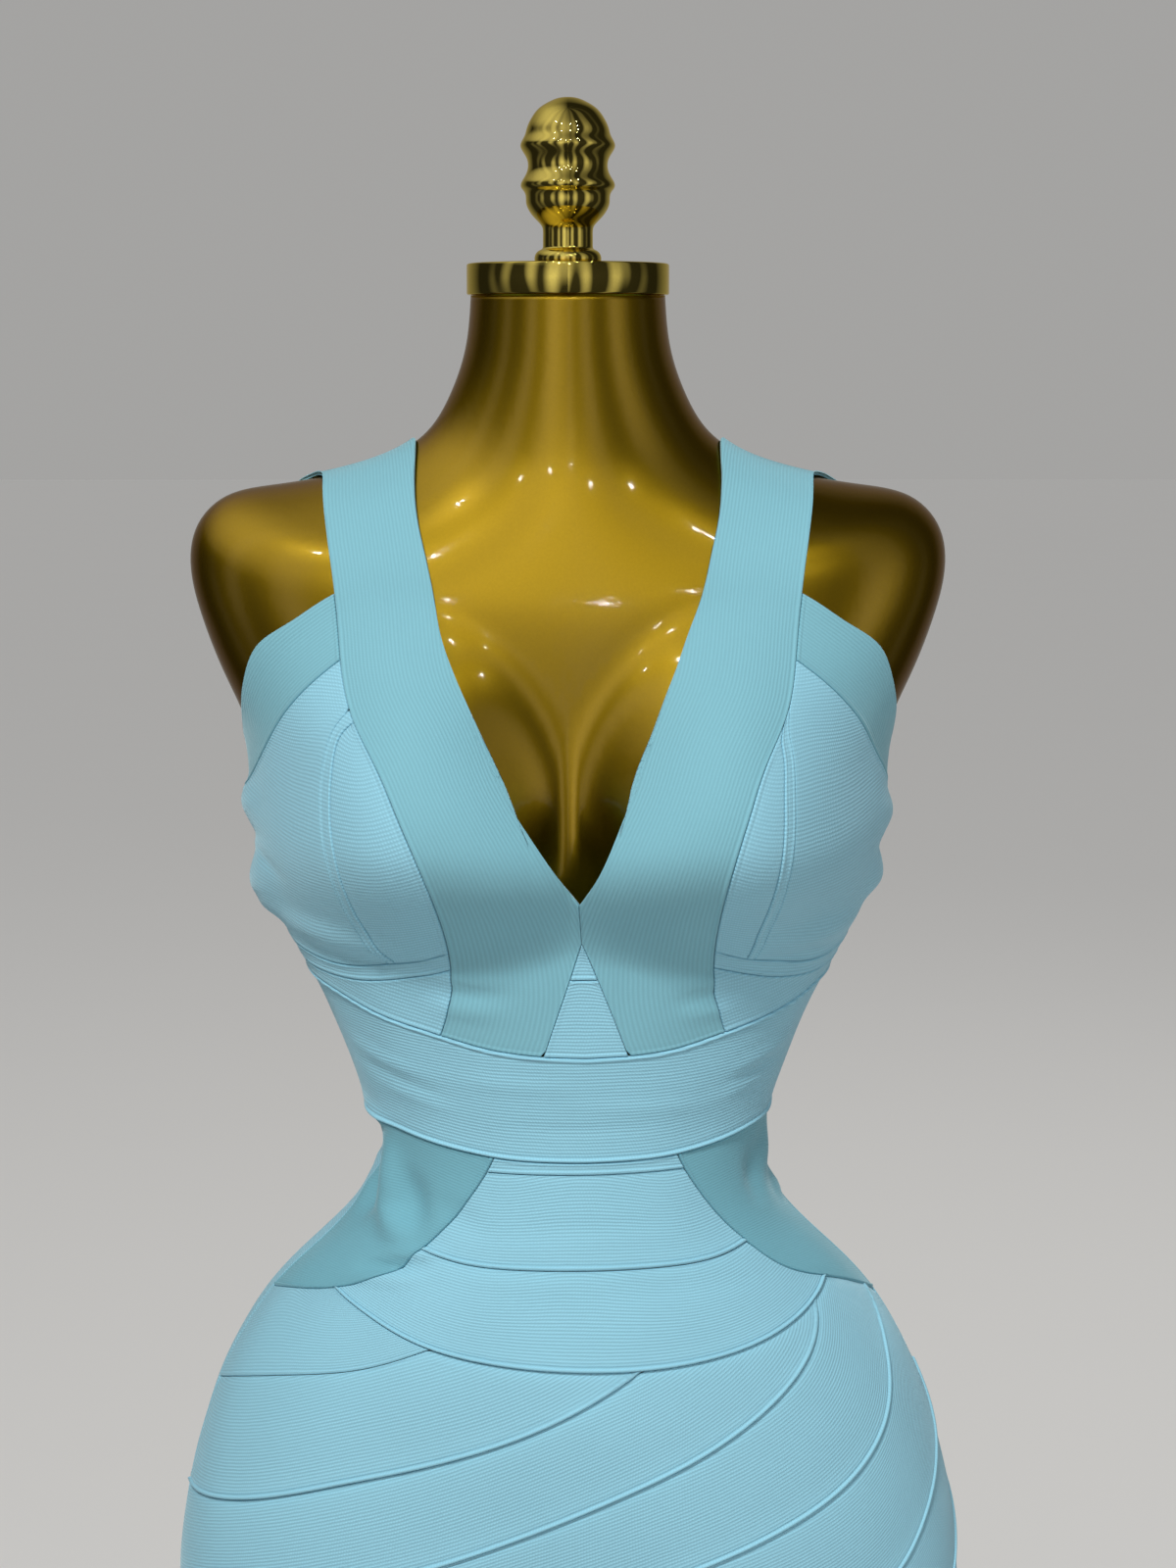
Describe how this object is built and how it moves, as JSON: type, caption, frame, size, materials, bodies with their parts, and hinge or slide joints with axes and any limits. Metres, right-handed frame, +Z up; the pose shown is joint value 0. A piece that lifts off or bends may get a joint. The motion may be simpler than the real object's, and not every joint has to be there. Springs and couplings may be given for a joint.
{
  "type": "bodycon dress on a dress form",
  "caption": "Sleeveless V-neck bandage-knit bodycon dress with diagonal wrap bands, worn by a limbless gold dress form with a neck cap and finial on a round-base pole stand.",
  "frame": {"origin": "centre of the underside of the round base, on the floor", "axes": "+Z up along the pole, the front of the dress faces -Y, and +X is the wearer's left"},
  "size_m": [0.4108, 0.36, 1.5284],
  "materials": {
    "aqua_knit": "pale aqua ribbed bandage knit, soft sheen",
    "gold_paint": "glossy metallic gold paint with a slight orange peel",
    "polished_gold": "polished, mirror-like gold plate",
    "stand_gold": "satin gold paint"
  },
  "bodies": {
    "root": {"armhole_band_left": "aqua_knit", "armhole_band_right": "aqua_knit", "back_bodice_left": "aqua_knit", "back_bodice_right": "aqua_knit", "back_skirt_left": "aqua_knit", "back_skirt_right": "aqua_knit", "base": "stand_gold", "belly_panel": "aqua_knit", "cup_inner_left": "aqua_knit", "cup_inner_right": "aqua_knit", "cup_outer_left": "aqua_knit", "cup_outer_right": "aqua_knit", "cup_tape_left": "aqua_knit", "cup_tape_right": "aqua_knit", "finial": "polished_gold", "form_torso": "gold_paint", "gusset_bottom": "aqua_knit", "gusset_top": "aqua_knit", "hem_band_back_left": "aqua_knit", "hem_band_back_right": "aqua_knit", "hem_band_front": "aqua_knit", "hip_panel": "aqua_knit", "lower_belly_panel": "aqua_knit", "neck_cap": "polished_gold", "neckline_band_left": "aqua_knit", "neckline_band_right": "aqua_knit", "pole": "stand_gold", "side_hip_left": "aqua_knit", "side_hip_right": "aqua_knit", "underbust_side_left": "aqua_knit", "underbust_side_right": "aqua_knit", "underbust_tape_left": "aqua_knit", "underbust_tape_right": "aqua_knit", "waist_band_back_left": "aqua_knit", "waist_band_back_right": "aqua_knit", "waist_band_front": "aqua_knit", "waist_strip": "aqua_knit", "wrap_band_1": "aqua_knit", "wrap_band_2": "aqua_knit", "wrap_band_3": "aqua_knit", "wrap_band_4": "aqua_knit", "wrap_band_5": "aqua_knit", "wrap_band_6": "aqua_knit", "wrap_band_7": "aqua_knit"}
  },
  "joints": []
}
